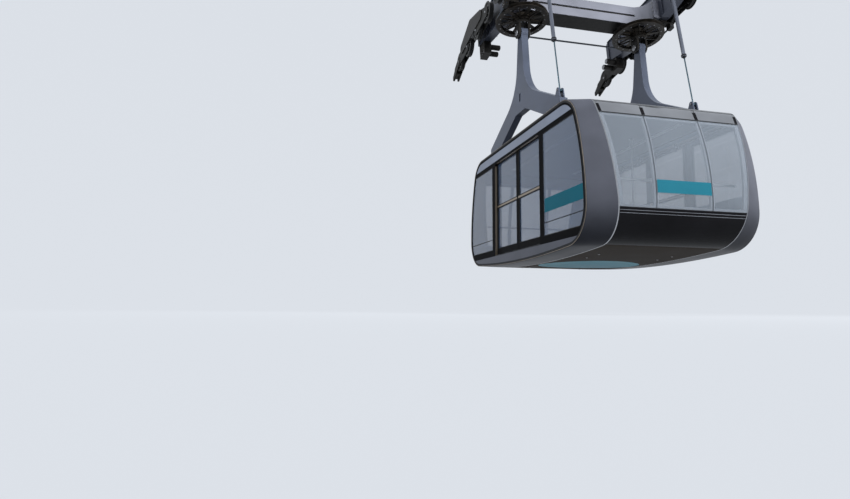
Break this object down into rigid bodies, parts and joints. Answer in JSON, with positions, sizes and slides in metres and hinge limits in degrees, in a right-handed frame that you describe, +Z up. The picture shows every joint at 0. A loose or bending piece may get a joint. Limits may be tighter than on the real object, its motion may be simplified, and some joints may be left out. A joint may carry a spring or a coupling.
{
  "type": "cable car cabin with hangers and carriage",
  "caption": "Reversible ropeway cabin with sliding doors and end windows, hung by twin hangers and swing dampers from a wide carriage on two track ropes.",
  "frame": {"origin": "middle of the gauge on the track-rope line, straight over the hanger pivots", "axes": "+X uphill along the level cabin, +Y to the left side, +Z up"},
  "size_m": [5.782, 3.97, 5.8726],
  "materials": {
    "shell_grey": "satin gunmetal paint",
    "roof_grey": "satin paint",
    "belly_dark": "satin dark paint",
    "panel_black": "gloss black",
    "upper_panel": "gloss grey",
    "frame_black": "satin black",
    "fascia_grey": "satin grey paint",
    "sill_grey": "satin grey paint",
    "pane": "clear, lightly tinted",
    "post_dark": "satin dark grey",
    "door_black": "satin black",
    "track_metal": "satin",
    "floor_mat": "ribbed mat",
    "rail_steel": "brushed",
    "hanger_grey": "satin slate paint",
    "beam_light": "satin light grey paint",
    "carriage_dark": "satin, greased",
    "rocker_dark": "painted casting",
    "roller_lining": "turned casting with lining",
    "sheave_dark": "painted casting",
    "pin_steel": "machined",
    "damper_paint": "satin grey paint",
    "rod_steel": "hard chrome",
    "rope_wire": "greased wire"
  },
  "bodies": {
    "carriage": {"side_beams": "carriage_dark", "crossbeam": "beam_light", "roller_rockers": "rocker_dark", "main_rockers": "carriage_dark", "rope_keepers": "rocker_dark", "pivot_forks": "carriage_dark", "carriage_pins": "pin_steel", "haul_rope": "rope_wire", "rope_guides": "carriage_dark", "rope_anchors": "carriage_dark"},
    "cabin": {"belly_pan": "belly_dark", "end_panels": "panel_black", "end_glass": "pane", "upper_panels": "upper_panel", "roof": "roof_grey", "end_frames": "post_dark", "floor_deck": "floor_mat", "ring_right": "shell_grey", "ring_left": "shell_grey", "side_frame_right": "frame_black", "side_frame_left": "frame_black", "fascias": "fascia_grey", "sill_panels": "sill_grey", "side_glass": "pane", "door_tracks": "track_metal", "grab_rails": "rail_steel", "roof_beams": "shell_grey", "hanger_right": "hanger_grey", "hanger_left": "hanger_grey"},
    "damper_tube_right": {"damper_tube_right": "damper_paint"},
    "damper_rod_right": {"damper_rod_right": "rod_steel"},
    "damper_tube_left": {"damper_tube_left": "damper_paint"},
    "damper_rod_left": {"damper_rod_left": "rod_steel"},
    "door_right_front": {"door_right_front": "door_black", "door_glass_right_front": "pane"},
    "door_right_rear": {"door_right_rear": "door_black", "door_glass_right_rear": "pane"},
    "door_left_front": {"door_left_front": "door_black", "door_glass_left_front": "pane"},
    "door_left_rear": {"door_left_rear": "door_black", "door_glass_left_rear": "pane"},
    "sheave_right": {"sheave_right": "sheave_dark"},
    "roller_right_1": {"roller_right_1": "roller_lining"},
    "roller_right_2": {"roller_right_2": "roller_lining"},
    "roller_right_3": {"roller_right_3": "roller_lining"},
    "roller_right_4": {"roller_right_4": "roller_lining"},
    "roller_right_5": {"roller_right_5": "roller_lining"},
    "roller_right_6": {"roller_right_6": "roller_lining"},
    "roller_right_7": {"roller_right_7": "roller_lining"},
    "roller_right_8": {"roller_right_8": "roller_lining"},
    "sheave_left": {"sheave_left": "sheave_dark"},
    "roller_left_1": {"roller_left_1": "roller_lining"},
    "roller_left_2": {"roller_left_2": "roller_lining"},
    "roller_left_3": {"roller_left_3": "roller_lining"},
    "roller_left_4": {"roller_left_4": "roller_lining"},
    "roller_left_5": {"roller_left_5": "roller_lining"},
    "roller_left_6": {"roller_left_6": "roller_lining"},
    "roller_left_7": {"roller_left_7": "roller_lining"},
    "roller_left_8": {"roller_left_8": "roller_lining"}
  },
  "joints": [
    {"name": "hanger_swing", "type": "hinge", "parent": "carriage", "child": "cabin", "pos_m": [0, 0, -0.41403], "axis": [0, 1, 0], "range_deg": [-15, 20]},
    {"name": "damper_right_turn", "type": "hinge", "parent": "carriage", "child": "damper_tube_right", "pos_m": [1.05, -1.32, 0.37], "axis": [0, 1, 0], "range_deg": [-11.6, 15.4]},
    {"name": "damper_right_stroke", "type": "slide", "parent": "damper_tube_right", "child": "damper_rod_right", "axis": [0.1857, 0, -0.9826], "range_m": [-0.304, 0.405]},
    {"name": "damper_left_turn", "type": "hinge", "parent": "carriage", "child": "damper_tube_left", "pos_m": [1.05, 1.32, 0.37], "axis": [0, 1, 0], "range_deg": [-11.6, 15.4]},
    {"name": "damper_left_stroke", "type": "slide", "parent": "damper_tube_left", "child": "damper_rod_left", "axis": [0.1857, 0, -0.9826], "range_m": [-0.304, 0.405]},
    {"name": "door_right_front_slide", "type": "slide", "parent": "cabin", "child": "door_right_front", "axis": [1, 0, 0], "range_m": [0, 1.02]},
    {"name": "door_right_rear_slide", "type": "slide", "parent": "cabin", "child": "door_right_rear", "axis": [-1, 0, 0], "range_m": [0, 1.02]},
    {"name": "door_left_front_slide", "type": "slide", "parent": "cabin", "child": "door_left_front", "axis": [1, 0, 0], "range_m": [0, 1.02]},
    {"name": "door_left_rear_slide", "type": "slide", "parent": "cabin", "child": "door_left_rear", "axis": [-1, 0, 0], "range_m": [0, 1.02]},
    {"name": "sheave_right_spin", "type": "hinge", "parent": "carriage", "child": "sheave_right", "pos_m": [-0.04314, -1.32, -0.10705], "axis": [-0.1392, 0, 0.9903], "continuous": true},
    {"name": "roller_right_1_spin", "type": "hinge", "parent": "carriage", "child": "roller_right_1", "pos_m": [-2.23614, -1.9, -0.09514], "axis": [0, 1, 0], "continuous": true},
    {"name": "roller_right_2_spin", "type": "hinge", "parent": "carriage", "child": "roller_right_2", "pos_m": [-1.62218, -1.9, -0.00885], "axis": [0, 1, 0], "continuous": true},
    {"name": "roller_right_3_spin", "type": "hinge", "parent": "carriage", "child": "roller_right_3", "pos_m": [-1.00821, -1.9, 0.07744], "axis": [0, 1, 0], "continuous": true},
    {"name": "roller_right_4_spin", "type": "hinge", "parent": "carriage", "child": "roller_right_4", "pos_m": [-0.39425, -1.9, 0.16373], "axis": [0, 1, 0], "continuous": true},
    {"name": "roller_right_5_spin", "type": "hinge", "parent": "carriage", "child": "roller_right_5", "pos_m": [0.21972, -1.9, 0.25001], "axis": [0, 1, 0], "continuous": true},
    {"name": "roller_right_6_spin", "type": "hinge", "parent": "carriage", "child": "roller_right_6", "pos_m": [0.83369, -1.9, 0.3363], "axis": [0, 1, 0], "continuous": true},
    {"name": "roller_right_7_spin", "type": "hinge", "parent": "carriage", "child": "roller_right_7", "pos_m": [1.44765, -1.9, 0.42259], "axis": [0, 1, 0], "continuous": true},
    {"name": "roller_right_8_spin", "type": "hinge", "parent": "carriage", "child": "roller_right_8", "pos_m": [2.06162, -1.9, 0.50887], "axis": [0, 1, 0], "continuous": true},
    {"name": "sheave_left_spin", "type": "hinge", "parent": "carriage", "child": "sheave_left", "pos_m": [-0.04314, 1.32, -0.10705], "axis": [-0.1392, 0, 0.9903], "continuous": true},
    {"name": "roller_left_1_spin", "type": "hinge", "parent": "carriage", "child": "roller_left_1", "pos_m": [-2.23614, 1.9, -0.09514], "axis": [0, 1, 0], "continuous": true},
    {"name": "roller_left_2_spin", "type": "hinge", "parent": "carriage", "child": "roller_left_2", "pos_m": [-1.62218, 1.9, -0.00885], "axis": [0, 1, 0], "continuous": true},
    {"name": "roller_left_3_spin", "type": "hinge", "parent": "carriage", "child": "roller_left_3", "pos_m": [-1.00821, 1.9, 0.07744], "axis": [0, 1, 0], "continuous": true},
    {"name": "roller_left_4_spin", "type": "hinge", "parent": "carriage", "child": "roller_left_4", "pos_m": [-0.39425, 1.9, 0.16373], "axis": [0, 1, 0], "continuous": true},
    {"name": "roller_left_5_spin", "type": "hinge", "parent": "carriage", "child": "roller_left_5", "pos_m": [0.21972, 1.9, 0.25001], "axis": [0, 1, 0], "continuous": true},
    {"name": "roller_left_6_spin", "type": "hinge", "parent": "carriage", "child": "roller_left_6", "pos_m": [0.83369, 1.9, 0.3363], "axis": [0, 1, 0], "continuous": true},
    {"name": "roller_left_7_spin", "type": "hinge", "parent": "carriage", "child": "roller_left_7", "pos_m": [1.44765, 1.9, 0.42259], "axis": [0, 1, 0], "continuous": true},
    {"name": "roller_left_8_spin", "type": "hinge", "parent": "carriage", "child": "roller_left_8", "pos_m": [2.06162, 1.9, 0.50887], "axis": [0, 1, 0], "continuous": true}
  ],
  "couplings": [
    {"joint": "damper_right_turn", "follows": "hanger_swing", "ratio": 0.767},
    {"joint": "damper_right_stroke", "follows": "hanger_swing", "m_per_rad": 1.155},
    {"joint": "damper_left_turn", "follows": "hanger_swing", "ratio": 0.767},
    {"joint": "damper_left_stroke", "follows": "hanger_swing", "m_per_rad": 1.155},
    {"joint": "door_right_rear_slide", "follows": "door_right_front_slide", "ratio": 1},
    {"joint": "door_left_rear_slide", "follows": "door_left_front_slide", "ratio": 1}
  ]
}
